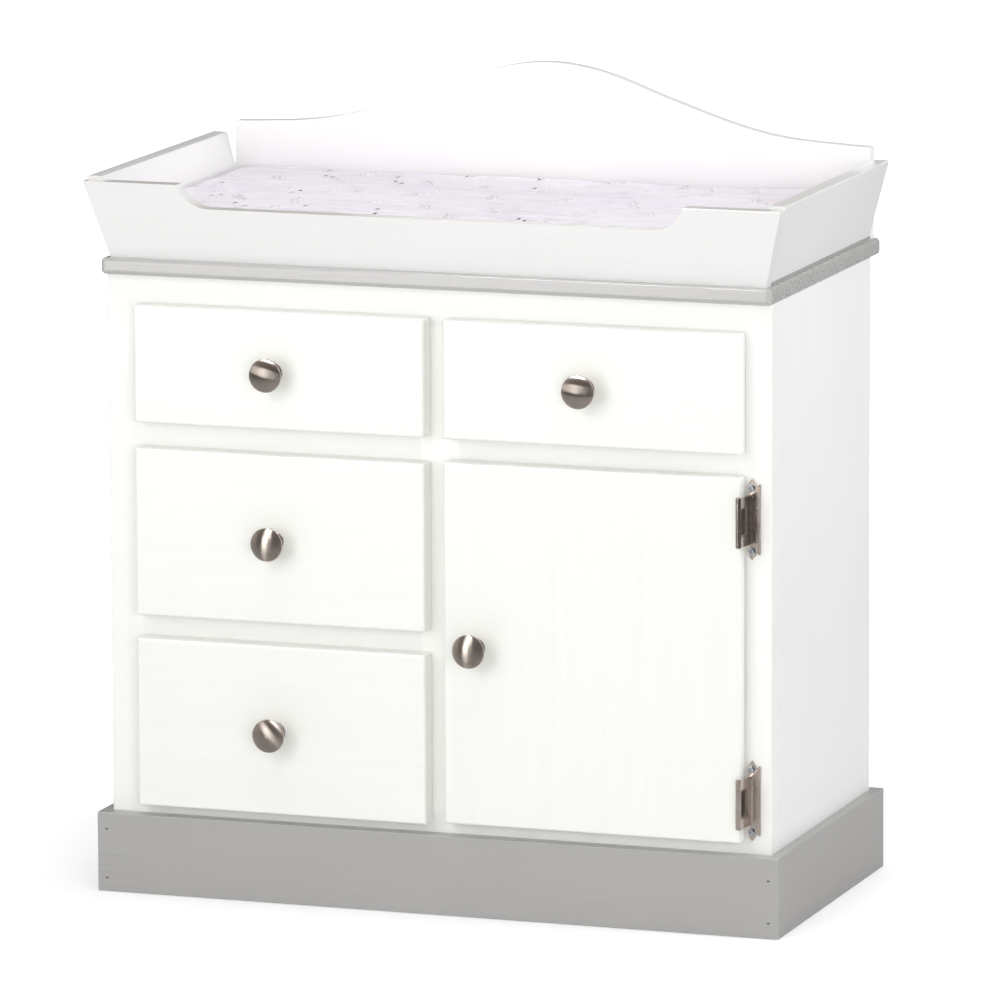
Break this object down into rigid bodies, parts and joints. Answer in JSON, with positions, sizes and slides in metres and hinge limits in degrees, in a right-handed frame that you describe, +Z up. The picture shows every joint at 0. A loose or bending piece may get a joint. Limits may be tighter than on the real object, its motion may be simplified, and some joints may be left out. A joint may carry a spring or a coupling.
{
  "type": "changing table",
  "caption": "Small painted changing table: cabinet with drawers and a cupboard door under a flared tray with an arched back and a padded mat.",
  "frame": {"origin": "on the floor, under the middle of the object's box", "axes": "+Z up, -Y towards the front with the drawers, +X to the right seen from the front"},
  "size_m": [0.6862, 0.3782, 0.7646],
  "materials": {
    "white_paint": "smooth white satin paint on wood",
    "grey_paint": "light grey satin paint on wood",
    "bare_wood": "clear finished light hardwood",
    "pad_fabric": "pale cotton with small eyelet embroidery",
    "brushed_nickel": "brushed satin nickel",
    "zinc_screws": "bright zinc"
  },
  "bodies": {
    "cabinet": {"bottom_panel": "white_paint", "bottom_rail": "white_paint", "cabinet_back_panel": "white_paint", "centre_partition": "white_paint", "centre_stile": "white_paint", "drawer_runners": "bare_wood", "hinge_frame_screws": "zinc_screws", "hinge_pins": "brushed_nickel", "left_side_panel": "white_paint", "left_stile": "white_paint", "lower_hinge_frame_leaf": "brushed_nickel", "lower_left_rail": "white_paint", "plinth_back_board": "grey_paint", "plinth_brads": "zinc_screws", "plinth_front_board": "grey_paint", "plinth_left_board": "grey_paint", "plinth_right_board": "grey_paint", "right_rail": "white_paint", "right_side_panel": "white_paint", "right_stile": "white_paint", "top_board": "grey_paint", "top_rail": "white_paint", "tray_back": "white_paint", "tray_bottom": "grey_paint", "tray_front": "white_paint", "tray_left_end": "white_paint", "tray_right_end": "white_paint", "upper_hinge_frame_leaf": "brushed_nickel", "upper_left_rail": "white_paint"},
    "upper_left_drawer": {"upper_left_drawer_box_bottom": "bare_wood", "upper_left_drawer_box_ends": "bare_wood", "upper_left_drawer_box_sides": "bare_wood", "upper_left_drawer_front": "white_paint", "upper_left_drawer_knob": "brushed_nickel", "upper_left_drawer_screws": "zinc_screws"},
    "middle_left_drawer": {"middle_left_drawer_box_bottom": "bare_wood", "middle_left_drawer_box_ends": "bare_wood", "middle_left_drawer_box_sides": "bare_wood", "middle_left_drawer_front": "white_paint", "middle_left_drawer_knob": "brushed_nickel", "middle_left_drawer_screws": "zinc_screws"},
    "lower_left_drawer": {"lower_left_drawer_box_bottom": "bare_wood", "lower_left_drawer_box_ends": "bare_wood", "lower_left_drawer_box_sides": "bare_wood", "lower_left_drawer_front": "white_paint", "lower_left_drawer_knob": "brushed_nickel", "lower_left_drawer_screws": "zinc_screws"},
    "upper_right_drawer": {"upper_right_drawer_box_bottom": "bare_wood", "upper_right_drawer_box_ends": "bare_wood", "upper_right_drawer_box_sides": "bare_wood", "upper_right_drawer_front": "white_paint", "upper_right_drawer_knob": "brushed_nickel", "upper_right_drawer_screws": "zinc_screws"},
    "door": {"door_panel": "white_paint", "door_knob": "brushed_nickel", "door_knob_screw": "zinc_screws", "upper_hinge_door_leaf": "brushed_nickel", "lower_hinge_door_leaf": "brushed_nickel", "hinge_door_screws": "zinc_screws"},
    "pad": {"changing_pad": "pad_fabric"}
  },
  "joints": [
    {"name": "upper_left_drawer_slide", "type": "slide", "parent": "cabinet", "child": "upper_left_drawer", "axis": [0, -1, 0], "range_m": [0, 0.2]},
    {"name": "middle_left_drawer_slide", "type": "slide", "parent": "cabinet", "child": "middle_left_drawer", "axis": [0, -1, 0], "range_m": [0, 0.2]},
    {"name": "lower_left_drawer_slide", "type": "slide", "parent": "cabinet", "child": "lower_left_drawer", "axis": [0, -1, 0], "range_m": [0, 0.2]},
    {"name": "upper_right_drawer_slide", "type": "slide", "parent": "cabinet", "child": "upper_right_drawer", "axis": [0, -1, 0], "range_m": [0, 0.2]},
    {"name": "door_hinge", "type": "hinge", "parent": "cabinet", "child": "door", "pos_m": [0.3032, -0.16655, 0.259], "axis": [0, 0, 1], "range_deg": [0, 170]},
    {"name": "pad_lift", "type": "slide", "parent": "cabinet", "child": "pad", "axis": [0, 0, 1], "range_m": [0, 0.15]}
  ]
}
